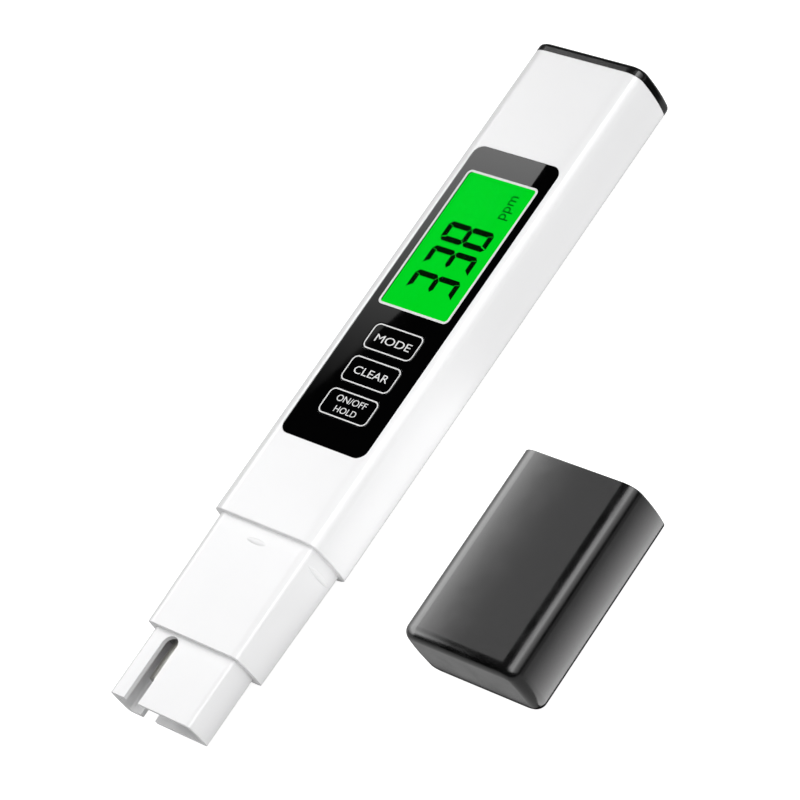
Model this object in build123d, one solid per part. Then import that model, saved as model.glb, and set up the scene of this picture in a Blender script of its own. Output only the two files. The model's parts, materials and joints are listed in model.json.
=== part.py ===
"""Pen-shaped digital water tester with its protective cap pulled off and laid beside it.

Millimetres, +Z up. The pen lies on its flat back with the display up and its length along Y:
the battery end at +Y, the probe at -Y. The origin is the middle of the housing's flat back.
Stations along the pen are distances from the probe's open end, turned into Y by along().
"""
from build123d import *
from math import cos, radians, sin
import os

# ---- overall size ----------------------------------------------------------------------------
LENGTH = 154.4
WIDTH = 28.8
THICKNESS = 14.0
PROBE_LENGTH = 15.0
COLLAR_LENGTH = 25.0
DRAWER_CAP_LENGTH = 2.0
DRAWER_CAP_RADIUS = 1.0

# ---- cross-section: flat faces, a soft blend, a tight corner and a bowed side ----------------
BLEND_RADIUS = 5.0
CORNER_RADIUS = 2.5
BLEND_ANGLE = radians(26)
CORNER_ANGLE = radians(80)
SMALLEST_RADIUS = 0.6

# ---- walls, and how far each tier stands in from the housing's surface -----------------------
HOUSING_WALL = 1.6
COLLAR_INSET_TOP = 1.35
COLLAR_INSET_FOOT = 1.8
PROBE_INSET = 3.28
PROBE_WALL = 1.0
GLUE_GAP = 0.05
EDGE_RADIUS = 0.2

# ---- stations --------------------------------------------------------------------------------
COLLAR_FOOT = PROBE_LENGTH
HOUSING_FOOT = COLLAR_FOOT + COLLAR_LENGTH
HOUSING_TOP = LENGTH - DRAWER_CAP_LENGTH
ORIGIN_STATION = (HOUSING_FOOT + HOUSING_TOP) / 2

# ---- front panel, screen and keys ------------------------------------------------------------
PANEL_CENTRE_X = 0.4
PANEL_WIDTH = 22.2
PANEL_FOOT = 58.8
PANEL_TOP = 128.5
PANEL_RADIUS = 2.2
PANEL_THICKNESS = 0.55
PANEL_SINK = 0.05
PANEL_GAP = 0.08
ADHESIVE_THICKNESS = 0.1
SCREEN_WIDTH = 18.0
SCREEN_FOOT = 90.4
SCREEN_TOP = 122.7
SCREEN_RADIUS = 0.9
KEY_CENTRE_X = 0.9
KEY_STATIONS = {"power": 67.97, "clear": 75.67, "mode": 83.37}
KEY_WIDTH = 13.1
KEY_LENGTH = 6.15
KEY_RADIUS = 1.4
KEY_GAP = 0.14
KEY_EDGE_RADIUS = 0.12
KEY_FLANGE_OVERHANG = 1.0
KEY_FLANGE_THICKNESS = 0.8
KEY_FLANGE_GAP = 0.1
FILM_MARGIN = 0.5

# ---- display stack ---------------------------------------------------------------------------
LCD_FOOT = SCREEN_FOOT - 2.1
LCD_TOP = SCREEN_TOP + 0.4
LCD_WIDTH = SCREEN_WIDTH + 1.0
LCD_THICKNESS = 1.4
LCD_LEDGE = 1.9
LCD_GAP = 0.1
LCD_FRAME_WALL = 0.5
LCD_FRAME_GAP = 0.12
LCD_SEAT_GAP = 0.02
LENS_BOND = 0.04
GUIDE_THICKNESS = 2.4
GUIDE_MARGIN = 0.9
GUIDE_GAP = 0.1
LED_X = (-4.6, 5.4)
LED_INSET = 9.0
ZEBRA_WIDTH = 18.6

# ---- electronics -----------------------------------------------------------------------------
BOARD_FOOT = 47.0
BOARD_TOP = 123.6
BOARD_WIDTH = 24.0
BOARD_BOTTOM_Z = 6.6
BOARD_THICKNESS = 1.0
RAIL_HEIGHT = 0.9
RAIL_GAP = 0.1
RAIL_STATIONS = (53.0, 83.6)
CONTROLLER_STATION = 101.0
AMPLIFIER_STATION = 76.0
SMALL_PART_STATIONS = (60.0, 64.0, 88.0, 92.0, 112.0)
SMALL_PART_FIRST_X = -8.5
SMALL_PART_PITCH = 3.4
CRYSTAL_X = 6.5
CRYSTAL_STATION = 108.0
BOARD_HOLE_X = 9.5
SWITCH_WIDTH = 6.0
SWITCH_LENGTH = 3.6
SWITCH_HEIGHT = 2.6
PLUNGER_WIDTH = 2.8
PLUNGER_LENGTH = 1.4
PLUNGER_COLLAR = 0.5
PLUNGER_REST = 0.8

# ---- battery drawer --------------------------------------------------------------------------
CELL_DIAMETER = 11.6
CELL_HEIGHT = 5.4
CELL_STATIONS = (131.7, 143.6)
DRAWER_FOOT = 125.2
DRAWER_PLUG_FOOT = 149.8
DRAWER_WIDTH = 15.0
DRAWER_FLOOR_WIDTH = 19.6
DRAWER_BOTTOM_Z = 1.9
DRAWER_FLOOR = 1.1
LINK_THICKNESS = 0.3
SEAL_WIDTH = 1.2
SEAL_DEPTH = 0.7
PLUG_GAP = 0.3
SEAL_GAP = 0.12
SPRING_THICKNESS = 0.25
SPRING_X = 3.2

# ---- probe -----------------------------------------------------------------------------------
SLOT_CENTRE_X = -5.0
SLOT_WIDTH = 3.9
SLOT_TOP = 14.5
PIN_SPACING = 12.4
PIN_DIAMETER = 2.5
PIN_FOOT = 6.0
PIN_TOP = 29.0
BASE_FOOT = 14.6
BASE_TOP = 24.0
SENSOR_DIAMETER = 2.0
SENSOR_FOOT = 10.2
SENSOR_TOP = 27.0

# ---- protective cap --------------------------------------------------------------------------
CAP_CENTRE_X = 56.07
CAP_FOOT = 31.05
CAP_LENGTH = 41.4
CAP_WALL = 1.2
CAP_END_WALL = 1.2
CAP_END_RADIUS = 2.2
GROOVE_DEPTH = 0.35
GROOVE_WIDTH = 1.8

FRONT_Z = THICKNESS
MID_Z = THICKNESS / 2
PANEL_FRONT_Z = FRONT_Z - PANEL_SINK
PANEL_BACK_Z = PANEL_FRONT_Z - PANEL_THICKNESS
POCKET_Z = PANEL_BACK_Z - ADHESIVE_THICKNESS
CEILING_Z = THICKNESS - HOUSING_WALL
BOARD_TOP_Z = BOARD_BOTTOM_Z + BOARD_THICKNESS
LCD_TOP_Z = PANEL_BACK_Z - LENS_BOND
PANEL_CENTRE = (PANEL_FOOT + PANEL_TOP) / 2
SCREEN_CENTRE = (SCREEN_FOOT + SCREEN_TOP) / 2


def along(station):
    """Y of a station measured from the probe's open end."""
    return station - ORIGIN_STATION


def block(x_range, stations, z_range):
    """A plain box between two X values, two stations and two heights."""
    size = [high - low for low, high in (x_range, stations, z_range)]
    centre = [(low + high) / 2 for low, high in (x_range, stations, z_range)]
    return Pos(centre[0], along(centre[1]), centre[2]) * Box(*size)


def slab(centre_x, station, width, length, radius, z_low, z_high):
    """An upright plate with rounded corners, between two heights."""
    sketch = RectangleRounded(width, length, radius)
    return Pos(centre_x, along(station), z_low) * extrude(sketch, amount=z_high - z_low)


def cross_section(inset=0.0):
    """The pen's closed outline, drawn in by inset all round, centred on the sketch's origin."""
    half_width = WIDTH / 2 - inset
    half_thickness = THICKNESS / 2 - inset
    blend = max(BLEND_RADIUS - inset, 2 * SMALLEST_RADIUS)
    corner = max(CORNER_RADIUS - inset, SMALLEST_RADIUS)
    drop = blend * (1 - cos(BLEND_ANGLE)) + corner * (cos(BLEND_ANGLE) - cos(CORNER_ANGLE))
    side = (half_thickness - drop) / cos(CORNER_ANGLE)

    def on_arc(centre, radius, angle):
        return centre[0] + radius * sin(angle), centre[1] + radius * cos(angle)

    side_centre = (half_width - side, 0)
    side_start = on_arc(side_centre, side, CORNER_ANGLE)
    corner_centre = on_arc(side_start, -corner, CORNER_ANGLE)
    corner_start = on_arc(corner_centre, corner, BLEND_ANGLE)
    blend_centre = on_arc(corner_start, -blend, BLEND_ANGLE)
    flat_end = on_arc(blend_centre, blend, 0)
    blend_middle = on_arc(blend_centre, blend, BLEND_ANGLE / 2)
    corner_middle = on_arc(corner_centre, corner, (BLEND_ANGLE + CORNER_ANGLE) / 2)

    edges = []
    for x_sign in (1, -1):
        def flip(point, z_sign):
            return point[0] * x_sign, point[1] * z_sign
        for z_sign in (1, -1):
            blend_arc = [flip(p, z_sign) for p in (flat_end, blend_middle, corner_start)]
            corner_arc = [flip(p, z_sign) for p in (corner_start, corner_middle, side_start)]
            edges += [ThreePointArc(*blend_arc), ThreePointArc(*corner_arc)]
        widest = (half_width * x_sign, 0)
        edges.append(ThreePointArc(flip(side_start, 1), widest, flip(side_start, -1)))
    for z_sign in (1, -1):
        height = flat_end[1] * z_sign
        edges.append(Line((flat_end[0], height), (-flat_end[0], height)))
    return make_face(edges)


def section_at(inset, station):
    """The cross-section stood up across the pen at a station; its normal points to the probe."""
    plane = Plane(origin=(0, along(station), MID_Z), x_dir=(1, 0, 0), z_dir=(0, -1, 0))
    return plane * cross_section(inset)


def prism(inset, foot, top):
    """A straight length of the pen's cross-section between two stations."""
    return extrude(section_at(inset, foot), amount=foot - top)


def ring(outer_inset, inner_inset, foot, top):
    """A sleeve between two insets and two stations."""
    return prism(outer_inset, foot, top) - prism(inner_inset, foot - 1, top + 1)


def rod(start, end, diameter):
    """A round bar between two points given as (x, station, z)."""
    first = Vector(start[0], along(start[1]), start[2])
    last = Vector(end[0], along(end[1]), end[2])
    plane = Plane(origin=first, z_dir=last - first)
    return extrude(plane * Circle(diameter / 2), amount=(last - first).length)


def spindle(length, radius):
    """A lemon-shaped bump along X: a circular segment turned about its chord."""
    arc = ThreePointArc((-length / 2, 0), (0, radius), (length / 2, 0))
    chord = Line((length / 2, 0), (-length / 2, 0))
    return revolve(make_face([arc, chord]), Axis.X, 360)


def strip(points, thickness, width, centre_x):
    """A bent metal strip: a profile of (station, z) points given thickness and width."""
    path = Polyline([(along(station), z) for station, z in points])
    profile = make_face(offset(path, thickness / 2, kind=Kind.INTERSECTION, side=Side.BOTH))
    plane = Plane(origin=(centre_x - width / 2, 0, 0), x_dir=(0, 1, 0), z_dir=(1, 0, 0))
    return extrude(plane * profile, amount=width)


def group(solids):
    """Several separate solids kept together as one sub-part."""
    return Compound(children=[s.solid() if len(s.solids()) == 1 else s for s in solids])


# ---- housing and panel -----------------------------------------------------------------------

def key_openings(margin, z_low, z_high):
    """The three key-shaped holes, grown by margin on each side."""
    return [slab(KEY_CENTRE_X, station, KEY_WIDTH + 2 * margin, KEY_LENGTH + 2 * margin,
                 KEY_RADIUS + margin, z_low, z_high) for station in KEY_STATIONS.values()]


def screen_opening(shrink, z_low, z_high):
    """The screen's rounded rectangle, drawn in by shrink on each side."""
    return slab(PANEL_CENTRE_X, SCREEN_CENTRE, SCREEN_WIDTH - 2 * shrink,
                SCREEN_TOP - SCREEN_FOOT - 2 * shrink, SCREEN_RADIUS, z_low, z_high)


def frame_block(margin, z_low, z_high):
    """The display frame's rectangle, grown by margin on each side."""
    side = LCD_GAP + LCD_FRAME_WALL + margin
    half_width = LCD_WIDTH / 2 + side
    return block((PANEL_CENTRE_X - half_width, PANEL_CENTRE_X + half_width),
                 (LCD_FOOT - side, LCD_TOP + side), (z_low, z_high))


def panel_outline(grow, z_low, z_high):
    """The front panel's rounded rectangle, grown on each side."""
    return slab(PANEL_CENTRE_X, PANEL_CENTRE, PANEL_WIDTH + 2 * grow,
                PANEL_TOP - PANEL_FOOT + 2 * grow, PANEL_RADIUS + grow, z_low, z_high)


def make_housing():
    """One-piece tube, open at both ends, with the panel's recess and the board's rails."""
    body = prism(0, HOUSING_FOOT, HOUSING_TOP)
    end_edges = body.faces().sort_by(Axis.Y)[0].edges() + body.faces().sort_by(Axis.Y)[-1].edges()
    body = fillet(end_edges, EDGE_RADIUS)
    body -= prism(HOUSING_WALL, HOUSING_FOOT - 1, HOUSING_TOP + 1)
    body -= panel_outline(PANEL_GAP, POCKET_Z, FRONT_Z + 1)
    body -= frame_block(LCD_FRAME_GAP, CEILING_Z - 1, FRONT_Z)
    for hole in key_openings(KEY_GAP, CEILING_Z - 1, FRONT_Z):
        body -= hole
    rail_inner = BOARD_WIDTH / 2 - RAIL_HEIGHT
    wall_inside = WIDTH / 2 - HOUSING_WALL / 2
    for x_sign in (1, -1):
        x_range = sorted((x_sign * rail_inner, x_sign * wall_inside))
        for low in (BOARD_BOTTOM_Z - RAIL_GAP - RAIL_HEIGHT, BOARD_TOP_Z + RAIL_GAP):
            body += block(x_range, RAIL_STATIONS, (low, low + RAIL_HEIGHT))
    return body


def make_front_panel():
    """Gloss black overlay with holes for the keys and the screen's lens."""
    panel = panel_outline(0, PANEL_BACK_Z, FRONT_Z) & prism(PANEL_SINK, PANEL_FOOT - 5, PANEL_TOP + 5)
    for hole in key_openings(KEY_GAP, PANEL_BACK_Z - 1, FRONT_Z + 1):
        panel -= hole
    return panel - screen_opening(-GLUE_GAP, PANEL_BACK_Z - 1, FRONT_Z + 1)


def make_panel_adhesive():
    """Double-sided film that holds the overlay in its recess."""
    film = panel_outline(-2 * PANEL_GAP, POCKET_Z, PANEL_BACK_Z)
    for hole in key_openings(FILM_MARGIN, POCKET_Z - 1, FRONT_Z):
        film -= hole
    return film - frame_block(FILM_MARGIN / 2, POCKET_Z - 1, FRONT_Z)


def make_screen_lens():
    """Clear window over the display."""
    return screen_opening(0, PANEL_BACK_Z, PANEL_FRONT_Z)


# ---- keys ------------------------------------------------------------------------------------

FLANGE_TOP_Z = CEILING_Z - KEY_FLANGE_GAP
FLANGE_BOTTOM_Z = FLANGE_TOP_Z - KEY_FLANGE_THICKNESS


def make_key(station):
    """Key cap: a pad flush with the panel, held in by a flange under the housing's wall."""
    pad = slab(KEY_CENTRE_X, station, KEY_WIDTH, KEY_LENGTH, KEY_RADIUS, FLANGE_TOP_Z, PANEL_FRONT_Z)
    top_edges = pad.faces().sort_by(Axis.Z)[-1].edges()
    pad = fillet(top_edges, KEY_EDGE_RADIUS)
    flange_width = KEY_WIDTH + 2 * KEY_FLANGE_OVERHANG
    return pad + slab(KEY_CENTRE_X, station, flange_width, KEY_LENGTH, KEY_RADIUS,
                      FLANGE_BOTTOM_Z, FLANGE_TOP_Z)


def make_plunger(station):
    """The moving button of a tactile switch, under its key."""
    foot_z = BOARD_TOP_Z + PLUNGER_REST
    head = slab(KEY_CENTRE_X, station, PLUNGER_WIDTH, PLUNGER_LENGTH, 0.6, foot_z, FLANGE_BOTTOM_Z)
    collar = slab(KEY_CENTRE_X, station, PLUNGER_WIDTH + 2 * PLUNGER_COLLAR,
                  PLUNGER_LENGTH + 2 * PLUNGER_COLLAR, 0.6, foot_z, foot_z + PLUNGER_COLLAR)
    return head + collar


def make_switch(station):
    """Tactile switch: square-edged case with a well for its button, a steel lid and four legs."""
    half_width = SWITCH_WIDTH / 2
    half_length = SWITCH_LENGTH / 2
    top_z = BOARD_TOP_Z + SWITCH_HEIGHT
    clearance = 0.15
    case = block((KEY_CENTRE_X - half_width, KEY_CENTRE_X + half_width),
                 (station - half_length, station + half_length), (BOARD_TOP_Z, top_z))
    well_margin = PLUNGER_COLLAR + clearance
    case -= slab(KEY_CENTRE_X, station, PLUNGER_WIDTH + 2 * well_margin,
                 PLUNGER_LENGTH + 2 * well_margin, 0.7, BOARD_TOP_Z + 0.4, top_z - 0.5)
    case -= slab(KEY_CENTRE_X, station, PLUNGER_WIDTH + 2 * clearance,
                 PLUNGER_LENGTH + 2 * clearance, 0.7, BOARD_TOP_Z + 0.4, top_z + 1)
    for x_sign in (1, -1):
        for y_sign in (1, -1):
            leg_x = KEY_CENTRE_X + x_sign * (half_width + 0.5)
            leg_station = station + y_sign * 1.1
            case += block((leg_x - 0.6, leg_x + 0.6), (leg_station - 0.35, leg_station + 0.35),
                          (BOARD_TOP_Z, BOARD_TOP_Z + 0.25))
    return case


# ---- display stack and circuit board ---------------------------------------------------------


def make_lcd():
    """Liquid-crystal cell: a long lower glass whose contact ledge stands out past the upper one."""
    x_range = (PANEL_CENTRE_X - LCD_WIDTH / 2, PANEL_CENTRE_X + LCD_WIDTH / 2)
    glass = block(x_range, (LCD_FOOT, LCD_TOP), (LCD_TOP_Z - LCD_THICKNESS, LCD_TOP_Z))
    return glass - block((-WIDTH, WIDTH), (LCD_FOOT - 1, LCD_FOOT + LCD_LEDGE),
                         (LCD_TOP_Z - LCD_THICKNESS / 2, LCD_TOP_Z + 1))


def make_lcd_frame():
    """Moulded frame that stands on the board and holds the light guide and the display."""
    frame = frame_block(0, BOARD_TOP_Z, LCD_TOP_Z)
    frame -= frame_block(-LCD_FRAME_WALL, BOARD_TOP_Z - 1, LCD_TOP_Z + 1)
    ledge_z = LCD_TOP_Z - LCD_THICKNESS - LCD_SEAT_GAP
    inner_half = LCD_WIDTH / 2 + LCD_GAP
    guide_half = LCD_WIDTH / 2 - GUIDE_MARGIN + LCD_GAP
    for x_sign in (1, -1):
        x_range = sorted(PANEL_CENTRE_X + x_sign * half for half in (guide_half, inner_half))
        frame += block(x_range, (LCD_FOOT + LCD_LEDGE, LCD_TOP + LCD_GAP), (BOARD_TOP_Z, ledge_z))
    return frame


def make_light_guide():
    """Diffusing plate that spreads the backlight behind the display."""
    half = LCD_WIDTH / 2 - GUIDE_MARGIN
    top_z = LCD_TOP_Z - LCD_THICKNESS - GUIDE_GAP
    foot = LCD_FOOT + LCD_LEDGE + 3 * GUIDE_GAP
    return block((PANEL_CENTRE_X - half, PANEL_CENTRE_X + half), (foot, LCD_TOP),
                 (top_z - GUIDE_THICKNESS, top_z))


def make_backlight_leds():
    """Four small light-emitting diodes on the board under the light guide."""
    leds = []
    for x in LED_X:
        for station in (SCREEN_FOOT + LED_INSET, SCREEN_TOP - LED_INSET):
            base = block((x - 1.5, x + 1.5), (station - 0.8, station + 0.8),
                         (BOARD_TOP_Z, BOARD_TOP_Z + 0.3))
            dome = block((x - 0.9, x + 0.9), (station - 0.8, station + 0.8),
                         (BOARD_TOP_Z + 0.3, BOARD_TOP_Z + 0.9))
            leds.append(base + fillet(dome.edges().filter_by(Axis.Y).group_by(Axis.Z)[-1], 0.25))
    return group(leds)


def make_zebra_strip():
    """Elastomer connector that carries the board's contacts up to the display's ledge."""
    half = ZEBRA_WIDTH / 2
    return block((PANEL_CENTRE_X - half, PANEL_CENTRE_X + half),
                 (LCD_FOOT + GUIDE_GAP, LCD_FOOT + LCD_LEDGE - 2 * GUIDE_GAP),
                 (BOARD_TOP_Z, LCD_TOP_Z - LCD_THICKNESS))


def make_circuit_board():
    """Printed board with notched feet and plated holes for the probe's leads."""
    x_range = (-BOARD_WIDTH / 2, BOARD_WIDTH / 2)
    board = block(x_range, (BOARD_FOOT, BOARD_TOP), (BOARD_BOTTOM_Z, BOARD_TOP_Z))
    board = fillet(board.edges().filter_by(Axis.Z), 1.0)
    for x in LEAD_X:
        board -= Pos(x, along(LEAD_TOP - 1), BOARD_BOTTOM_Z) * Cylinder(0.4, 4 * BOARD_THICKNESS)
    for x in (-BOARD_HOLE_X, BOARD_HOLE_X):
        board -= Pos(x, along(BOARD_FOOT + 3), BOARD_BOTTOM_Z) * Cylinder(1.1, 4 * BOARD_THICKNESS)
    return board


def chip(centre_x, station, body_width, body_length, height, legs, pitch, top_z):
    """Surface-mount chip hung under the board, with a row of legs along each long side."""
    low_z = top_z - height
    body = block((centre_x - body_width / 2, centre_x + body_width / 2),
                 (station - body_length / 2, station + body_length / 2), (low_z, top_z - 0.12))
    body = chamfer(body.faces().sort_by(Axis.Z)[0].edges(), 0.25)
    for x_sign in (1, -1):
        for index in range(legs):
            leg_station = station + (index - (legs - 1) / 2) * pitch
            inner = centre_x + x_sign * (body_width / 2 - 0.2)
            outer = centre_x + x_sign * (body_width / 2 + 0.9)
            foot = centre_x + x_sign * (body_width / 2 + 0.4)
            y_range = (leg_station - 0.16, leg_station + 0.16)
            body += block(sorted((inner, foot + x_sign * 0.2)), y_range, (top_z - 0.7, top_z - 0.5))
            body += block(sorted((foot, foot + x_sign * 0.2)), y_range, (top_z - 0.7, top_z))
            body += block(sorted((foot, outer)), y_range, (top_z - 0.2, top_z))
    return body


def make_small_parts():
    """Resistors and capacitors under the board."""
    parts = []
    for row, station in enumerate(SMALL_PART_STATIONS):
        for column in range(3):
            x = SMALL_PART_FIRST_X + column * SMALL_PART_PITCH + row % 2
            body = block((x - 1.0, x + 1.0), (station - 0.6, station + 0.6),
                         (BOARD_BOTTOM_Z - 0.7, BOARD_BOTTOM_Z))
            parts.append(chamfer(body.faces().sort_by(Axis.Z)[0].edges(), 0.1))
    return group(parts)


def make_crystal():
    """Quartz crystal in a round-ended can."""
    return slab(CRYSTAL_X, CRYSTAL_STATION, 3.8, 8.0, 1.85, BOARD_BOTTOM_Z - 2.6, BOARD_BOTTOM_Z)


# ---- battery drawer --------------------------------------------------------------------------

DRAWER_FLOOR_Z = DRAWER_BOTTOM_Z + DRAWER_FLOOR
CELL_BOTTOM_Z = DRAWER_FLOOR_Z + LINK_THICKNESS
CELL_TOP_Z = CELL_BOTTOM_Z + CELL_HEIGHT
DRAWER_WALL_TOP_Z = CELL_TOP_Z - 0.3
SEAL_FOOT = DRAWER_PLUG_FOOT + SEAL_DEPTH
SEAL_INNER_INSET = HOUSING_WALL + PLUG_GAP + 0.6


def make_battery_drawer():
    """Black end cap with a sealing plug and a tray for two button cells."""
    cap = prism(0, HOUSING_TOP, LENGTH)
    cap = fillet(cap.faces().sort_by(Axis.Y)[-1].edges(), DRAWER_CAP_RADIUS)
    plug = prism(HOUSING_WALL + PLUG_GAP, DRAWER_PLUG_FOOT, HOUSING_TOP)
    plug -= ring(0, SEAL_INNER_INSET, SEAL_FOOT, SEAL_FOOT + SEAL_WIDTH)
    tray = block((-DRAWER_WIDTH / 2, DRAWER_WIDTH / 2), (DRAWER_FOOT, DRAWER_PLUG_FOOT),
                 (DRAWER_BOTTOM_Z, DRAWER_WALL_TOP_Z))
    tray += block((-DRAWER_FLOOR_WIDTH / 2, DRAWER_FLOOR_WIDTH / 2), (DRAWER_FOOT, DRAWER_PLUG_FOOT),
                  (DRAWER_BOTTOM_Z, DRAWER_FLOOR_Z))
    for station in CELL_STATIONS:
        well = Cylinder(CELL_DIAMETER / 2 + 0.1, THICKNESS, align=(Align.CENTER, Align.CENTER, Align.MIN))
        tray -= Pos(0, along(station), DRAWER_FLOOR_Z) * well
    tray -= block((-3, 3), CELL_STATIONS, (DRAWER_FLOOR_Z, THICKNESS))
    grip_notch = block((-4, 4), (LENGTH - 0.5, LENGTH + 1), (-1, 0.8))
    return cap + plug + tray - grip_notch


def make_drawer_seal():
    """Soft ring in the plug's groove."""
    return ring(HOUSING_WALL + SEAL_GAP, SEAL_INNER_INSET, SEAL_FOOT, SEAL_FOOT + SEAL_WIDTH)


def make_cell(station, turned_over):
    """Button cell: a wide can with a smaller raised lid; the inner one lies the other way up."""
    can_height = CELL_HEIGHT - 0.5
    align = (Align.CENTER, Align.CENTER, Align.MIN)
    can = fillet(Cylinder(CELL_DIAMETER / 2, can_height, align=align).edges(), 0.3)
    lid = Cylinder(CELL_DIAMETER / 2 - 1.2, CELL_HEIGHT, align=align)
    lid = fillet(lid.edges().sort_by(Axis.Z)[-1], 0.2)
    cell = can + lid
    if turned_over:
        cell = Pos(0, 0, CELL_HEIGHT) * Rot(180, 0, 0) * cell
    return Pos(0, along(station), CELL_BOTTOM_Z) * cell


def make_cell_link():
    """Plated strip on the tray's floor that joins the two cells in series."""
    ends = [Pos(0, along(station), DRAWER_FLOOR_Z) *
            Cylinder(3.2, LINK_THICKNESS, align=(Align.CENTER, Align.CENTER, Align.MIN))
            for station in CELL_STATIONS]
    bridge = block((-2, 2), CELL_STATIONS, (DRAWER_FLOOR_Z, CELL_BOTTOM_Z))
    return ends[0] + ends[1] + bridge


def make_contact_spring(centre_x, station):
    """Leaf spring soldered under the board, bent up and over the drawer to press on a cell."""
    arm_z = CELL_TOP_Z + 1.6
    solder_z = BOARD_BOTTOM_Z - SPRING_THICKNESS / 2
    riser = BOARD_TOP + 0.95
    points = [(BOARD_TOP - 6, solder_z), (riser, solder_z), (riser, arm_z), (station - 2.5, arm_z),
              (station - 0.6, CELL_TOP_Z + 0.35), (station + 0.6, CELL_TOP_Z + 0.35),
              (station + 1.8, arm_z - 0.6)]
    return strip(points, SPRING_THICKNESS, 2.6, centre_x)


# ---- collar, probe and leads -----------------------------------------------------------------

TONGUE_TOP = HOUSING_FOOT + 6.0
COLLAR_SEAL_FOOT = HOUSING_FOOT + 2.6
COLLAR_BORE = PROBE_INSET - GLUE_GAP
RIB_STATION = HOUSING_FOOT - 3.0
RIB_PROUD = 0.28
RIB_RADIUS = 0.8
FACE_RIB_LENGTH = 8.4
SIDE_RIB_LENGTH = 9.4
LEAD_X = (-6.2, -1.2, 1.2, 6.2)
LEAD_TOP = BOARD_FOOT + 4.0
LEAD_DIAMETER = 0.9
PIN_X = (-PIN_SPACING / 2, PIN_SPACING / 2)


def make_collar():
    """Tapered sleeve that the protective cap grips, glued by its tongue into the housing."""
    outside = loft([section_at(COLLAR_INSET_FOOT, COLLAR_FOOT),
                    section_at(COLLAR_INSET_TOP, HOUSING_FOOT)], ruled=True)
    tongue = prism(HOUSING_WALL + GLUE_GAP, HOUSING_FOOT - 1, TONGUE_TOP)
    tongue -= ring(0, HOUSING_WALL + SEAL_DEPTH, COLLAR_SEAL_FOOT, COLLAR_SEAL_FOOT + SEAL_WIDTH)
    collar = outside + tongue - prism(COLLAR_BORE, COLLAR_FOOT - 1, TONGUE_TOP + 1)
    share = (HOUSING_FOOT - RIB_STATION) / COLLAR_LENGTH
    inset = COLLAR_INSET_TOP + share * (COLLAR_INSET_FOOT - COLLAR_INSET_TOP)
    depth = inset + RIB_RADIUS - RIB_PROUD
    face_rib = spindle(FACE_RIB_LENGTH, RIB_RADIUS)
    side_rib = Rot(0, 90, 0) * spindle(SIDE_RIB_LENGTH, RIB_RADIUS)
    collar += Pos(0, along(RIB_STATION), THICKNESS - depth) * face_rib
    collar += Pos(0, along(RIB_STATION), depth) * face_rib
    for x_sign in (1, -1):
        collar += Pos(x_sign * (WIDTH / 2 - depth), along(RIB_STATION), MID_Z) * side_rib
    return collar


def make_collar_seal():
    """Sealing ring in the tongue's groove."""
    return ring(HOUSING_WALL, HOUSING_WALL + SEAL_DEPTH,
                COLLAR_SEAL_FOOT, COLLAR_SEAL_FOOT + SEAL_WIDTH)


def make_probe_shell():
    """Thin-walled probe guard, open at its end, with a round-topped slot front and back."""
    shell = ring(PROBE_INSET, PROBE_INSET + PROBE_WALL, 0, COLLAR_FOOT + 6)
    slot_length = SLOT_TOP + SLOT_WIDTH
    slot = slab(SLOT_CENTRE_X, SLOT_TOP - slot_length / 2, SLOT_WIDTH, slot_length,
                SLOT_WIDTH / 2 - 0.001, -1, THICKNESS + 1)
    return shell - slot


def make_probe_base():
    """Insulating plug in the probe's root that carries the electrodes and the sensor."""
    base = prism(PROBE_INSET + PROBE_WALL + GLUE_GAP, BASE_FOOT, BASE_TOP)
    for x in PIN_X:
        base -= rod((x, BASE_FOOT - 1, MID_Z), (x, BASE_TOP + 1, MID_Z), PIN_DIAMETER)
    return base - rod((0, BASE_FOOT - 1, MID_Z), (0, BASE_TOP + 1, MID_Z), SENSOR_DIAMETER)


def make_electrode(x):
    """Titanium electrode pin with a rounded end."""
    pin = rod((x, PIN_FOOT, MID_Z), (x, PIN_TOP, MID_Z), PIN_DIAMETER)
    return fillet(pin.edges().sort_by(Axis.Y)[0], 0.35)


def make_temperature_sensor():
    """Round-nosed steel sleeve that holds the temperature sensor."""
    sleeve = rod((0, SENSOR_FOOT, MID_Z), (0, SENSOR_TOP, MID_Z), SENSOR_DIAMETER)
    return fillet(sleeve.edges().sort_by(Axis.Y)[0], 0.9)


def make_lead(x, start_station, start_x):
    """Insulated wire from the probe's root to a hole near the board's foot."""
    end_z = BOARD_BOTTOM_Z - LEAD_DIAMETER / 2
    points = [(start_x, start_station, MID_Z), (start_x, start_station + 4, MID_Z),
              (x, BOARD_FOOT - 3, end_z), (x, LEAD_TOP, end_z)]
    corners = [Vector(px, along(station), pz) for px, station, pz in points]
    path = FilletPolyline(*corners, radius=3.0)
    profile = Plane(origin=corners[0], z_dir=corners[1] - corners[0]) * Circle(LEAD_DIAMETER / 2)
    return sweep(profile, path=path)


# ---- protective cap --------------------------------------------------------------------------

def make_protective_cap():
    """Blind sleeve of the housing's own section, with a groove inside for the collar's ribs."""
    outside = prism(0, CAP_FOOT, CAP_FOOT + CAP_LENGTH)
    outside = fillet(outside.faces().sort_by(Axis.Y)[0].edges(), CAP_END_RADIUS)
    cap_top = CAP_FOOT + CAP_LENGTH
    mouth_edges = outside.faces().sort_by(Axis.Y)[-1].edges()
    outside = fillet(mouth_edges, EDGE_RADIUS)
    cap = outside - prism(CAP_WALL, CAP_FOOT + CAP_END_WALL, cap_top + 1)
    groove_centre = cap_top - (HOUSING_FOOT - RIB_STATION)
    cap -= prism(CAP_WALL - GROOVE_DEPTH, groove_centre - GROOVE_WIDTH / 2,
                 groove_centre + GROOVE_WIDTH / 2)
    return Pos(CAP_CENTRE_X, 0, 0) * cap


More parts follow.
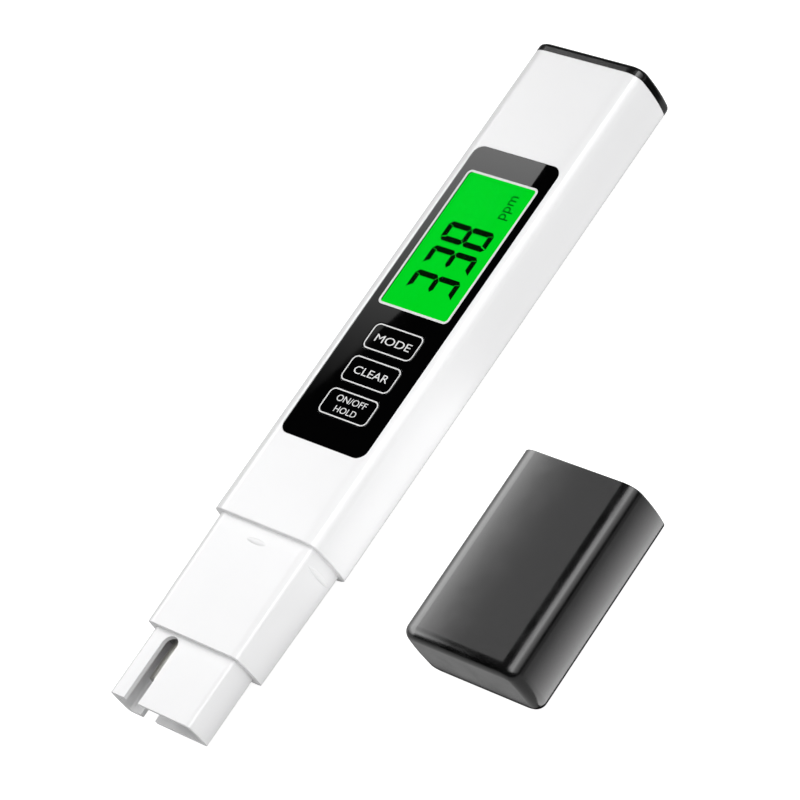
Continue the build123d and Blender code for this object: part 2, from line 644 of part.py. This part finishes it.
SUB_PARTS = {
    "housing_shell": make_housing(),
    "front_panel": make_front_panel(),
    "panel_adhesive": make_panel_adhesive(),
    "screen_lens": make_screen_lens(),
    "lcd_glass": make_lcd(),
    "lcd_frame": make_lcd_frame(),
    "light_guide": make_light_guide(),
    "backlight_leds": make_backlight_leds(),
    "zebra_strip": make_zebra_strip(),
    "circuit_board": make_circuit_board(),
    "microcontroller": chip(0, CONTROLLER_STATION, 7.0, 7.0, 1.5, 8, 0.8, BOARD_BOTTOM_Z),
    "amplifier_chip": chip(0, AMPLIFIER_STATION, 3.9, 5.0, 1.6, 4, 1.2, BOARD_BOTTOM_Z),
    "small_parts": make_small_parts(),
    "crystal": make_crystal(),
    "tactile_switches": group([make_switch(station) for station in KEY_STATIONS.values()]),
    "contact_spring_positive": make_contact_spring(SPRING_X, CELL_STATIONS[1]),
    "contact_spring_negative": make_contact_spring(-SPRING_X, CELL_STATIONS[0]),
    "battery_drawer": make_battery_drawer(),
    "drawer_seal": make_drawer_seal(),
    "button_cell_outer": make_cell(CELL_STATIONS[1], True),
    "button_cell_inner": make_cell(CELL_STATIONS[0], False),
    "cell_link": make_cell_link(),
    "probe_collar": make_collar(),
    "collar_seal": make_collar_seal(),
    "probe_shell": make_probe_shell(),
    "probe_base": make_probe_base(),
    "electrode_left": make_electrode(PIN_X[0]),
    "electrode_right": make_electrode(PIN_X[1]),
    "temperature_sensor": make_temperature_sensor(),
    "electrode_leads": group([make_lead(LEAD_X[0], PIN_TOP, PIN_X[0]),
                              make_lead(LEAD_X[3], PIN_TOP, PIN_X[1])]),
    "sensor_leads": group([make_lead(LEAD_X[1], SENSOR_TOP, -0.5),
                           make_lead(LEAD_X[2], SENSOR_TOP, 0.5)]),
    "protective_cap": make_protective_cap(),
}
for name, station in KEY_STATIONS.items():
    SUB_PARTS[f"key_{name}"] = make_key(station)
    SUB_PARTS[f"plunger_{name}"] = make_plunger(station)

os.makedirs("parts", exist_ok=True)
for node, shape in SUB_PARTS.items():
    export_step(shape, f"parts/{node}.step")
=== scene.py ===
import json
import math

import bmesh
import bpy
from mathutils import Matrix, Vector


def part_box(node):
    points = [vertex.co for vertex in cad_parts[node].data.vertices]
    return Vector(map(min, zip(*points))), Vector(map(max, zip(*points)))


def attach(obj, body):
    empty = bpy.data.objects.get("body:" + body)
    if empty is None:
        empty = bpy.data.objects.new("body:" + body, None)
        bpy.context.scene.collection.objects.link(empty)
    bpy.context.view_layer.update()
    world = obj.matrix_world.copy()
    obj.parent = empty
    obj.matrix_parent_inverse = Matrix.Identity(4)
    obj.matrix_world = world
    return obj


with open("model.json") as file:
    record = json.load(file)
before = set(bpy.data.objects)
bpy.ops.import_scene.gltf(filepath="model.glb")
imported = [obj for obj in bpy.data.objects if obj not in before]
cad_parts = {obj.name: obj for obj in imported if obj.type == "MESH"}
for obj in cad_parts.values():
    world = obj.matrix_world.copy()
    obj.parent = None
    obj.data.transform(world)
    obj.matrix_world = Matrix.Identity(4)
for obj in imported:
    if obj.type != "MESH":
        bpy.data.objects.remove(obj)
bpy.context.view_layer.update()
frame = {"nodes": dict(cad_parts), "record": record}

MM = 0.001


# ---- helpers ---------------------------------------------------------------------------------

def mesh_object(name, build):
    """A new mesh object whose faces are made by build(bmesh)."""
    shape = bmesh.new()
    build(shape)
    bmesh.ops.recalc_face_normals(shape, faces=shape.faces)
    mesh = bpy.data.meshes.new(name)
    shape.to_mesh(mesh)
    shape.free()
    made = bpy.data.objects.new(name, mesh)
    bpy.context.scene.collection.objects.link(made)
    return made


def give(obj, material):
    """Puts one material on every face of an object."""
    obj.data.materials.clear()
    obj.data.materials.append(material)


def prism(shape, outline, z_low, z_high):
    """Closed plate: an outline of (x, y) points between two heights, inside a bmesh."""
    rings = [[shape.verts.new((x, y, z)) for x, y in outline] for z in (z_low, z_high)]
    shape.faces.new(rings[0])
    shape.faces.new(rings[1])
    for i in range(len(outline)):
        j = (i + 1) % len(outline)
        shape.faces.new((rings[0][i], rings[0][j], rings[1][j], rings[1][i]))


# ---- camera ----------------------------------------------------------------------------------

CAMERA_AZIMUTH = math.radians(-23.287)
CAMERA_ELEVATION = math.radians(44.283)
CAMERA_ROLL = math.radians(38.591)
CAMERA_DISTANCE = 0.74204
CAMERA_LENS = 177.31      # focal length and sensor width in millimetres
SENSOR_WIDTH = 36.0
CAMERA_AIM = Vector((0.00427, -0.02059, 0.0070))
NEAREST_SEEN = 0.05
FARTHEST_SEEN = 20.0


def make_camera():
    """A long lens above the probe end, rolled so that the pen lies across the picture."""
    data = bpy.data.cameras.new("camera")
    data.lens = CAMERA_LENS
    data.sensor_width = SENSOR_WIDTH
    data.clip_start = NEAREST_SEEN
    data.clip_end = FARTHEST_SEEN
    camera = bpy.data.objects.new("camera", data)
    bpy.context.scene.collection.objects.link(camera)
    towards_camera = Vector((math.cos(CAMERA_ELEVATION) * math.cos(CAMERA_AZIMUTH),
                             math.cos(CAMERA_ELEVATION) * math.sin(CAMERA_AZIMUTH),
                             math.sin(CAMERA_ELEVATION)))
    level = (-towards_camera).to_track_quat("-Z", "Y").to_matrix()
    turn = level @ Matrix.Rotation(-CAMERA_ROLL, 3, "Z")
    place = Matrix.Translation(CAMERA_AIM + CAMERA_DISTANCE * towards_camera)
    camera.matrix_world = place @ turn.to_4x4()
    bpy.context.scene.camera = camera


# ---- materials -------------------------------------------------------------------------------

NOISE_LOW, NOISE_HIGH = 0.3, 0.7     # the range that nearly all of a noise texture falls in
GLOSS_FINENESS = 4.0                 # how much finer the gloss varies than the colour


def new_material(name):
    """An empty node material: returns (material, nodes, links, shader)."""
    material = bpy.data.materials.new(name)
    material.use_nodes = True
    nodes = material.node_tree.nodes
    links = material.node_tree.links
    nodes.clear()
    output = nodes.new("ShaderNodeOutputMaterial")
    shader = nodes.new("ShaderNodeBsdfPrincipled")
    links.new(shader.outputs["BSDF"], output.inputs["Surface"])
    return material, nodes, links, shader


def noise(nodes, links, coordinates, scale, detail=3.0, stretch=None):
    """Noise in object space; stretch squeezes the pattern along each axis."""
    source = coordinates
    if stretch:
        mapping = nodes.new("ShaderNodeMapping")
        mapping.inputs["Scale"].default_value = stretch
        links.new(coordinates, mapping.inputs["Vector"])
        source = mapping.outputs["Vector"]
    texture = nodes.new("ShaderNodeTexNoise")
    texture.inputs["Scale"].default_value = scale
    texture.inputs["Detail"].default_value = detail
    links.new(source, texture.inputs["Vector"])
    return texture.outputs["Fac"]


def spread(nodes, links, factor, low, high):
    """Maps a noise onto low to high."""
    remap = nodes.new("ShaderNodeMapRange")
    remap.inputs["From Min"].default_value = NOISE_LOW
    remap.inputs["From Max"].default_value = NOISE_HIGH
    remap.inputs["To Min"].default_value = low
    remap.inputs["To Max"].default_value = high
    links.new(factor, remap.inputs["Value"])
    return remap.outputs["Result"]


def colour_between(nodes, links, factor, low, high):
    """Maps a noise onto the colours from low to high."""
    ramp = nodes.new("ShaderNodeValToRGB")
    for element, position, colour in zip(ramp.color_ramp.elements, (NOISE_LOW, NOISE_HIGH), (low, high)):
        element.position = position
        element.color = (*colour, 1)
    links.new(factor, ramp.inputs["Fac"])
    return ramp.outputs["Color"]


def surface(name, colour, roughness, tint=0.03, mottle=60.0, rough_spread=0.04, grain=2500.0,
            grain_depth=0.01, stretch=None, **sockets):
    """Moulded or drawn surface: a slow colour drift, uneven gloss and a fine grain in the normal.

    mottle and grain are noise scales per metre, and grain_depth is in millimetres.
    """
    material, nodes, links, shader = new_material(name)
    coordinates = nodes.new("ShaderNodeTexCoord").outputs["Object"]
    drift = noise(nodes, links, coordinates, mottle, stretch=stretch)
    darker = [c * (1 - tint) for c in colour]
    lighter = [min(1.0, c * (1 + tint)) for c in colour]
    links.new(colour_between(nodes, links, drift, darker, lighter), shader.inputs["Base Color"])
    gloss = noise(nodes, links, coordinates, mottle * GLOSS_FINENESS, stretch=stretch)
    level = spread(nodes, links, gloss, max(0.0, roughness - rough_spread), roughness + rough_spread)
    links.new(level, shader.inputs["Roughness"])
    if grain_depth:
        bump = nodes.new("ShaderNodeBump")
        bump.inputs["Strength"].default_value = 1.0
        bump.inputs["Distance"].default_value = grain_depth * MM
        links.new(noise(nodes, links, coordinates, grain, stretch=stretch), bump.inputs["Height"])
        links.new(bump.outputs["Normal"], shader.inputs["Normal"])
    for socket, value in sockets.items():
        shader.inputs[socket.replace("_", " ")].default_value = value
    return material


def make_materials():
    """One procedural material for each material slot of the record."""
    return {
        "white_shell": surface("white_shell", (0.86, 0.86, 0.865), 0.22, tint=0.006,
                               rough_spread=0.02, grain=900.0, grain_depth=0.0015, IOR=1.5),
        "panel_black": surface("panel_black", (0.0008, 0.0008, 0.0009), 0.02, tint=0.1,
                               rough_spread=0.01, grain=500.0, grain_depth=0.0002, IOR=1.5),
        "drawer_black": surface("drawer_black", (0.004, 0.004, 0.0042), 0.22, tint=0.1,
                                grain=3000.0, grain_depth=0.003, IOR=1.5),
        "cap_black": surface("cap_black", (0.0025, 0.0025, 0.0026), 0.22, tint=0.1,
                             grain=2600.0, grain_depth=0.003, IOR=1.5),
        "diffuser": surface("diffuser", (0.75, 0.85, 0.75), 0.35),
        "white_inner": surface("white_inner", (0.75, 0.75, 0.73), 0.5, grain_depth=0.01),
        "adhesive": surface("adhesive", (0.7, 0.7, 0.68), 0.4),
        "silicone": surface("silicone", (0.05, 0.05, 0.052), 0.6, grain_depth=0.01),
        "board_green": surface("board_green", (0.01, 0.13, 0.04), 0.35, tint=0.15, mottle=300.0),
        "chip_black": surface("chip_black", (0.02, 0.02, 0.02), 0.55, grain=5000.0, grain_depth=0.01),
        "plated_steel": surface("plated_steel", (0.72, 0.7, 0.66), 0.2, grain_depth=0.001, Metallic=0.75),
        "cell_steel": surface("cell_steel", (0.68, 0.68, 0.67), 0.2, Metallic=0.75, grain=1500.0,
                              rough_spread=0.03, grain_depth=0.0008, stretch=(1, 12, 1)),
        "probe_grey": surface("probe_grey", (0.16, 0.16, 0.165), 0.45, grain_depth=0.01),
        "titanium": surface("titanium", (0.42, 0.41, 0.39), 0.3, Metallic=0.75, grain=1200.0,
                            grain_depth=0.001, stretch=(8, 1, 8)),
        "lead_red": surface("lead_red", (0.4, 0.01, 0.01), 0.4),
        "lead_black": surface("lead_black", (0.01, 0.01, 0.01), 0.4),
        "plunger_white": surface("plunger_white", (0.7, 0.7, 0.68), 0.4),
        "display_green": display_material(),
        "clear_lens": lens_material(),
    }


def display_material():
    """Evenly backlit green glass with the faintest drift in brightness."""
    material, nodes, links, shader = new_material("display_green")
    coordinates = nodes.new("ShaderNodeTexCoord").outputs["Object"]
    drift = noise(nodes, links, coordinates, 80.0)
    glow = colour_between(nodes, links, drift, (0.0, 0.66, 0.014), (0.0, 0.68, 0.017))
    links.new(glow, shader.inputs["Emission Color"])
    shader.inputs["Emission Strength"].default_value = 1.0
    shader.inputs["Base Color"].default_value = (0.0, 0.01, 0.0, 1)
    shader.inputs["Roughness"].default_value = 0.5
    shader.inputs["Specular IOR Level"].default_value = 0.0
    return material


def lens_material():
    """Clear coated window: almost nothing but a faint gloss."""
    material, nodes, links, shader = new_material("clear_lens")
    coordinates = nodes.new("ShaderNodeTexCoord").outputs["Object"]
    level = spread(nodes, links, noise(nodes, links, coordinates, 200.0), 0.03, 0.06)
    links.new(level, shader.inputs["Roughness"])
    shader.inputs["Base Color"].default_value = (0.0, 0.1, 0.005, 1)
    shader.inputs["Specular IOR Level"].default_value = 0.2
    shader.inputs["Alpha"].default_value = 0.02
    return material


def print_material(name, colour, roughness=0.45, **sockets):
    """Screen-printed ink: slightly uneven cover and a matt face."""
    return surface(name, colour, roughness, tint=0.02, mottle=900.0, grain=6000.0, grain_depth=0.001,
                   **sockets)


# ---- printed lines, legends and the display's reading ------------------------------------------

PRINT_LIFT = 0.003 * MM
PRINT_THICKNESS = 0.012 * MM
CORNER_STEPS = 8
FONT_STEPS = 5
FONT_DEPTH = 0.02         # any depth above nothing: the lettering is scaled to PRINT_THICKNESS


def rounded_rectangle(centre, width, length, radius):
    """Outline of a rounded rectangle as (x, y) points."""
    points = []
    corners = ((1, 1, 0), (-1, 1, 90), (-1, -1, 180), (1, -1, 270))
    for x_sign, y_sign, start in corners:
        corner_x = centre[0] + x_sign * (width / 2 - radius)
        corner_y = centre[1] + y_sign * (length / 2 - radius)
        for step in range(CORNER_STEPS + 1):
            angle = math.radians(start + 90 * step / CORNER_STEPS)
            points.append((corner_x + radius * math.cos(angle), corner_y + radius * math.sin(angle)))
    return points


def printed_frame(name, centre, width, length, radius, line, z, material, body):
    """A thin raised line of ink round a rounded rectangle; width and length are to its middle."""
    outer = rounded_rectangle(centre, width + line, length + line, radius + line / 2)
    inner = rounded_rectangle(centre, width - line, length - line, radius - line / 2)

    def build(shape):
        loops = [[shape.verts.new((x, y, height)) for x, y in outline]
                 for outline in (outer, inner) for height in (z, z + PRINT_THICKNESS)]
        outer_low, outer_high, inner_low, inner_high = loops
        walls = ((outer_low, outer_high), (outer_high, inner_high), (inner_high, inner_low),
                 (inner_low, outer_low))
        for first, second in walls:
            for i in range(len(first)):
                j = (i + 1) % len(first)
                shape.faces.new((first[i], first[j], second[j], second[i]))

    made = mesh_object(name, build)
    give(made, material)
    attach(made, body)


def lettering(name, words, centre, width, height, z, material, body, along_y=False):
    """Words in the built-in font, fitted to a box; along_y turns them to read towards +Y."""
    curve = bpy.data.curves.new(name, "FONT")
    curve.body = words
    curve.resolution_u = FONT_STEPS
    curve.extrude = FONT_DEPTH
    text = bpy.data.objects.new(name + "_curve", curve)
    bpy.context.scene.collection.objects.link(text)
    bpy.context.view_layer.update()
    mesh = bpy.data.meshes.new_from_object(text.evaluated_get(bpy.context.evaluated_depsgraph_get()))
    bpy.data.objects.remove(text)
    mesh.name = name
    points = [v.co.copy() for v in mesh.vertices]
    low = Vector(min(p[i] for p in points) for i in range(3))
    high = Vector(max(p[i] for p in points) for i in range(3))
    for vertex in mesh.vertices:
        across = ((vertex.co.x - low.x) / (high.x - low.x) - 0.5) * width
        up = ((vertex.co.y - low.y) / (high.y - low.y) - 0.5) * height
        depth = (vertex.co.z - low.z) / (high.z - low.z) * PRINT_THICKNESS
        place = (-up, across) if along_y else (across, up)
        vertex.co = (centre[0] + place[0], centre[1] + place[1], z + depth)
    made = bpy.data.objects.new(name, mesh)
    bpy.context.scene.collection.objects.link(made)
    give(made, material)
    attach(made, body)


DIGIT_HEIGHT = 11.8 * MM
DIGIT_WIDTH = 4.6 * MM
DIGIT_PITCH = 5.9 * MM
SEGMENT = 1.25 * MM
SEGMENT_GAP = 0.07 * MM
SEGMENT_CHAMFER = 0.75 * MM
FREE_END_CHAMFER = 0.3 * MM
SHOULDER = 0.85 * SEGMENT     # how far in from the digit's side a long segment's slant starts
TIP = 0.45 * SEGMENT          # and how far in the middle segments come to a point
LIT = {3: "abcdg", 8: "abcdefg"}


def segment_outlines(digit):
    """Outlines of a digit's lit segments as (across, up) points; a free end runs to a point."""
    lit = LIT[digit]
    w, h, t, g = DIGIT_WIDTH, DIGIT_HEIGHT, SEGMENT, SEGMENT_GAP
    half = h / 2
    left_cut = SEGMENT_CHAMFER if "f" in lit else FREE_END_CHAMFER
    bottom_cut = SEGMENT_CHAMFER if "e" in lit else FREE_END_CHAMFER
    cut = SEGMENT_CHAMFER
    flat = {
        "a": [(left_cut + g, h), (w - cut, h), (w - SHOULDER, h - t), (t + g, h - t)],
        "d": [(bottom_cut + g, 0), (t + g, t), (w - SHOULDER, t), (w - cut, 0)],
        "g": [(TIP + g, half), (t + g, half + t / 2), (w - t - g, half + t / 2),
              (w - TIP - g, half), (w - t - g, half - t / 2), (t + g, half - t / 2)],
    }
    right_top = [(w, h - cut), (w - cut + g, h - g), (w - SHOULDER + g, h - t - g),
                 (w - t, h - t - 2 * g), (w - t, half + t / 2 + g), (w - TIP, half + g),
                 (w, half + t / 2)]
    right_foot = [(x, h - y) for x, y in right_top]
    flat["b"] = right_top
    flat["c"] = right_foot
    flat["f"] = [(w - x, y) for x, y in right_top]
    flat["e"] = [(w - x, y) for x, y in right_foot]
    return [flat[key] for key in lit]


def display_digits(reading, centre_x, first_y, z, material):
    """The reading in seven-segment digits: tops towards -X, read towards +Y."""
    for index, digit in enumerate(reading):
        start_y = first_y + index * DIGIT_PITCH

        def build(shape):
            for outline in segment_outlines(digit):
                points = [(centre_x + DIGIT_HEIGHT / 2 - up, start_y + across) for across, up in outline]
                prism(shape, points, z, z + PRINT_THICKNESS)

        made = mesh_object(f"display_digit_{index + 1}", build)
        give(made, material)
        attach(made, "pen")


SCREEN_LINE = 0.5 * MM
SCREEN_LINE_RADIUS = 0.9 * MM
KEY_LINE = 0.27 * MM
KEY_LINE_RADIUS = 1.2 * MM
KEY_LINE_WIDTH = 12.48 * MM
KEY_LINE_LENGTH = 5.56 * MM
# each key's lines of words: (words, x, y, width, height), in millimetres from the key's middle
LEGENDS = {
    "mode": [("MODE", 0.1, -0.15, 9.2, 1.7)],
    "clear": [("CLEAR", 0.1, 0.0, 8.9, 1.7)],
    "power": [("ON/OFF", 0.05, 1.15, 7.8, 1.4), ("HOLD", 0.05, -1.15, 5.6, 1.35)],
}


def add_panel_print(white_ink):
    """White line round the screen, and on each key its outline and words."""
    panel_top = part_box("front_panel")[1].z + PRINT_LIFT
    lens_low, lens_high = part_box("screen_lens")
    screen = (lens_low + lens_high) / 2
    printed_frame("screen_frame_print", screen.xy, lens_high.x - lens_low.x, lens_high.y - lens_low.y,
                  SCREEN_LINE_RADIUS, SCREEN_LINE, panel_top, white_ink, "pen")
    for key, lines in LEGENDS.items():
        low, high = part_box(f"key_{key}")
        centre = (low + high) / 2
        body = f"{key}_key"
        top = high.z + PRINT_LIFT
        printed_frame(f"key_{key}_outline", centre.xy, KEY_LINE_WIDTH, KEY_LINE_LENGTH,
                      KEY_LINE_RADIUS, KEY_LINE, top, white_ink, body)
        for words, x, y, width, height in lines:
            name = "legend_" + words.lower().replace("/", "_")
            lettering(name, words, (centre.x + x * MM, centre.y + y * MM), width * MM, height * MM,
                      top, white_ink, body)


READING = (3, 3, 8)
FIRST_DIGIT = 4.75 * MM                 # from the screen's lower edge, along the pen
UNIT_ACROSS, UNIT_UP = 5.0 * MM, 27.2 * MM
UNIT_WIDTH, UNIT_HEIGHT = 5.6 * MM, 2.5 * MM


def add_display(black_ink, unit_ink):
    """The display's digits and its unit, on the glass behind the lens."""
    lens_low, lens_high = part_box("screen_lens")
    glass_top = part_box("lcd_glass")[1].z + PRINT_LIFT
    centre_x = (lens_low.x + lens_high.x) / 2
    display_digits(READING, centre_x, lens_low.y + FIRST_DIGIT, glass_top, black_ink)
    lettering("display_unit", "ppm", (centre_x + UNIT_ACROSS, lens_low.y + UNIT_UP),
              UNIT_WIDTH, UNIT_HEIGHT, glass_top, unit_ink, "pen", along_y=True)


# ---- studio ------------------------------------------------------------------------------------

CARD_HEIGHT = 0.5
FLAG_HEIGHT = 0.05
PATCH_DEPTH = -0.05 * MM          # cards under the floor, nearest first, so that none coincide
GLOW_DEPTH = -0.1 * MM
FLOOR_MIRROR_DEPTH = -0.2 * MM
FLOOR_SIZE = 4.0
FAR_SIDE = 2.0                    # how far the cards under the floor reach


def area_light(name, place, aim, size, power):
    """A rectangular light that is not itself seen, in the picture or in a reflection."""
    data = bpy.data.lights.new(name, "AREA")
    data.shape = "RECTANGLE"
    data.size, data.size_y = size
    data.energy = power
    light = bpy.data.objects.new(name, data)
    bpy.context.scene.collection.objects.link(light)
    light.location = place
    light.rotation_euler = (Vector(aim) - Vector(place)).to_track_quat("-Z", "Y").to_euler()
    light.visible_glossy = False
    light.visible_camera = False


def glowing_card(name, corners, near, far, power=1.0, facing=None):
    """A flat card seen only in reflections; it glows from near (first two corners) to far.

    With facing, a direction, it glows on that side only and is clear from the other.
    """
    def build(shape):
        shape.faces.new([shape.verts.new(corner) for corner in corners])

    card = mesh_object(name, build)
    material = bpy.data.materials.new(name)
    material.use_nodes = True
    nodes = material.node_tree.nodes
    links = material.node_tree.links
    nodes.clear()
    output = nodes.new("ShaderNodeOutputMaterial")
    emission = nodes.new("ShaderNodeEmission")
    geometry = nodes.new("ShaderNodeNewGeometry")
    position = geometry.outputs["Position"]
    if facing:
        if card.data.polygons[0].normal.dot(Vector(facing)) < 0:
            card.data.flip_normals()
        side = nodes.new("ShaderNodeMixShader")
        links.new(geometry.outputs["Backfacing"], side.inputs["Fac"])
        links.new(emission.outputs["Emission"], side.inputs[1])
        links.new(nodes.new("ShaderNodeBsdfTransparent").outputs["BSDF"], side.inputs[2])
        links.new(side.outputs["Shader"], output.inputs["Surface"])
    else:
        links.new(emission.outputs["Emission"], output.inputs["Surface"])
    start = (Vector(corners[0]) + Vector(corners[1])) / 2
    run = (Vector(corners[2]) + Vector(corners[3])) / 2 - start
    offset = nodes.new("ShaderNodeVectorMath")
    offset.operation = "SUBTRACT"
    offset.inputs[1].default_value = start
    links.new(position, offset.inputs[0])
    share = nodes.new("ShaderNodeVectorMath")
    share.operation = "DOT_PRODUCT"
    share.inputs[1].default_value = run / run.length_squared
    links.new(offset.outputs["Vector"], share.inputs[0])
    curve = nodes.new("ShaderNodeMath")
    curve.operation = "POWER"
    curve.use_clamp = True
    curve.inputs[1].default_value = power
    links.new(share.outputs["Value"], curve.inputs[0])
    strength = nodes.new("ShaderNodeMapRange")
    strength.inputs["To Min"].default_value = near
    strength.inputs["To Max"].default_value = far
    links.new(curve.outputs["Value"], strength.inputs["Value"])
    links.new(strength.outputs["Result"], emission.inputs["Strength"])
    give(card, material)
    card.visible_camera = False
    card.visible_diffuse = False
    card.visible_shadow = False
    return card


def flat_card(name, low, high, height, near, far=None, power=1.0):
    """A level rectangular card between two (x, y) corners; it is even, or fades along X."""
    corners = [(x, y, height) for x, y in ((low[0], high[1]), (low[0], low[1]),
                                           (high[0], low[1]), (high[0], high[1]))]
    return glowing_card(name, corners, near, near if far is None else far, power)


def floor_glow(name, low, high, depth, strength):
    """A level card under the floor that lights matt faces, or when dim paints shade on them; it is not
    seen in reflections.
    """
    card = flat_card(name, low, high, depth, strength)
    card.visible_glossy = False
    card.visible_diffuse = True


def make_floor():
    """The pale floor that the camera sees, and the cards that light the object in its place.

    The floor itself is only seen: floor_glow cards light matt faces, the dim shade_ cards paint shade on
    them, and the floor_ cards are what glossy faces reflect.
    """
    floor = mesh_object("floor", lambda shape: bmesh.ops.create_grid(
        shape, x_segments=2, y_segments=2, size=FLOOR_SIZE))
    paper = surface("floor_paper", (0.4, 0.4, 0.4), 0.8, tint=0.004, mottle=6.0, grain_depth=0.0,
                    Emission_Color=(1, 1, 1, 1), Emission_Strength=0.92)
    give(floor, paper)
    floor.visible_glossy = False
    floor.visible_diffuse = False
    floor.visible_shadow = False

    pen_low, pen_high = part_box("housing_shell")
    cap_low, cap_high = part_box("protective_cap")
    probe_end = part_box("probe_shell")[0].y
    gap = pen_high.x + 4 * MM
    front = cap_low.y - 1 * MM
    beside = cap_high.x + 20 * MM
    floor_glow("glow", (-FAR_SIDE, -FAR_SIDE), (FAR_SIDE, FAR_SIDE), GLOW_DEPTH, 1.1)
    floor_glow("glow_in_gap", (gap, cap_low.y + 2 * MM), (cap_low.x - 2 * MM, cap_high.y + 10 * MM),
               PATCH_DEPTH, 2.1)
    # shade_in_front and shade_under_pen: painted shade, darkening the probe end and the pen's lower edges
    # as if in contact shadow
    floor_glow("shade_in_front", (-0.3, -0.5), (pen_high.x + 3 * MM, probe_end - 1 * MM),
               PATCH_DEPTH, 0.5)
    floor_glow("shade_under_pen", (pen_low.x, probe_end), (pen_high.x, pen_high.y), PATCH_DEPTH, 0.0)
    flat_card("floor_left", (-FAR_SIDE, -FAR_SIDE), (gap, FAR_SIDE), FLOOR_MIRROR_DEPTH, 0.5)
    flat_card("floor_front", (gap, -FAR_SIDE), (FAR_SIDE, front), FLOOR_MIRROR_DEPTH, 0.65)
    flat_card("floor_beside_cap", (cap_high.x + 0.1 * MM, front), (beside, FAR_SIDE),
              FLOOR_MIRROR_DEPTH, 5.0, 0.4, 0.38)
    flat_card("floor_right", (beside, front), (FAR_SIDE, FAR_SIDE), FLOOR_MIRROR_DEPTH, 0.4)


def upright_card(name, x, y_range, z_range, near, far, power=1.0):
    """A card that stands across X and glows towards +X, from its foot to its top edge."""
    corners = [(x, y, z) for y, z in ((y_range[0], z_range[0]), (y_range[1], z_range[0]),
                                      (y_range[1], z_range[1]), (y_range[0], z_range[1]))]
    return glowing_card(name, corners, near, far, power, facing=(1, 0, 0))


def make_studio():
    """Soft lights for the matt faces, and cards that only the glossy faces reflect."""
    world = bpy.data.worlds.new("studio")
    world.use_nodes = True
    background = world.node_tree.nodes["Background"]
    background.inputs["Color"].default_value = (1, 1, 1, 1)
    background.inputs["Strength"].default_value = 0.2
    world.cycles_visibility.glossy = False
    bpy.context.scene.world = world
    area_light("overhead", (0.0, 0.1, 1.4), (0, 0, 0), (2.4, 2.4), 23.0)
    area_light("right_fill", (0.25, 0.0, 0.13), (0, 0, 0), (0.16, 0.16), 0.2)
    area_light("probe_fill", (0.03, -0.05, 0.12), (0.03, -0.05, 0), (0.08, 0.08), 0.02)

    # to the right: the long highlight down the pen's side
    strip_end = 0.34
    flat_card("strip", (0.08, -0.5), (strip_end, 0.7), CARD_HEIGHT, 6.0)
    flat_card("strip_fade", (strip_end, -0.5), (1.5, 0.7), CARD_HEIGHT, 4.0, 0.4, 0.4)

    # to the left: white over the pen's front, and panel_card for the gradient in the black panel
    left, right = -0.53, -0.472
    panel_foot, panel_head, cards_end = 0.158, 0.30, 0.37
    glowing_card("panel_card", [(left, panel_foot, CARD_HEIGHT), (-0.488, panel_foot, CARD_HEIGHT),
                                (-0.4424, panel_head, CARD_HEIGHT), (-0.5756, panel_head, CARD_HEIGHT)],
                 0.0, 3.4, 1.4)
    flat_card("left_card", (-1.0, -0.1), (left, cards_end), CARD_HEIGHT + 5 * MM, 5.0)
    flat_card("upper_card", (left, panel_head), (right, cards_end), CARD_HEIGHT, 4.0)
    flat_card("lower_card", (left, -0.15), (right, 0.14), CARD_HEIGHT, 4.0)
    flat_card("cap_card", (-0.43, 0.0), (-0.30, 0.24), CARD_HEIGHT, 0.7, 2.0)

    # between the pen and the cap: the highlight along the cap's near edge
    cap_low, cap_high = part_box("protective_cap")
    gap_x = (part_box("housing_shell")[1].x + cap_low.x) / 2 + 2 * MM
    beside_cap = (cap_low.y - 15 * MM, cap_high.y + 30 * MM)
    stack = (("foot", 11.5, 21.0, 0.0, 6.5, 1.5),
             ("middle", 21.0, 30.8, 6.5, 7.5, 1.0),
             ("top", 30.8, 38.5, 7.5, 1.1, 0.5))
    for part, foot, top, near, far, power in stack:
        upright_card(f"cap_edge_{part}", gap_x, beside_cap, (foot * MM, top * MM), near, far, power)

    # over the pen: a black card that keeps the others out of the panel's edge
    flat_card("pen_flag", (-0.027, -0.04), (0.0, 0.06), FLAG_HEIGHT, 0.0)


# ---- build -------------------------------------------------------------------------------------

make_camera()
materials = make_materials()
slots = {entry["node"]: entry["material_slot"] for entry in frame["record"]["subparts"]}
for node, obj in frame["nodes"].items():
    give(obj, materials[slots[node]])

white_ink = print_material("white_ink", (0.7, 0.7, 0.7))
black_ink = print_material("black_ink", (0.001, 0.003, 0.001), 0.6, Specular_IOR_Level=0.0)
unit_ink = print_material("unit_ink", (0.0, 0.10, 0.006), 0.6, Specular_IOR_Level=0.0)
add_panel_print(white_ink)
add_display(black_ink, unit_ink)
make_floor()
make_studio()
bpy.context.scene.view_settings.view_transform = "Standard"
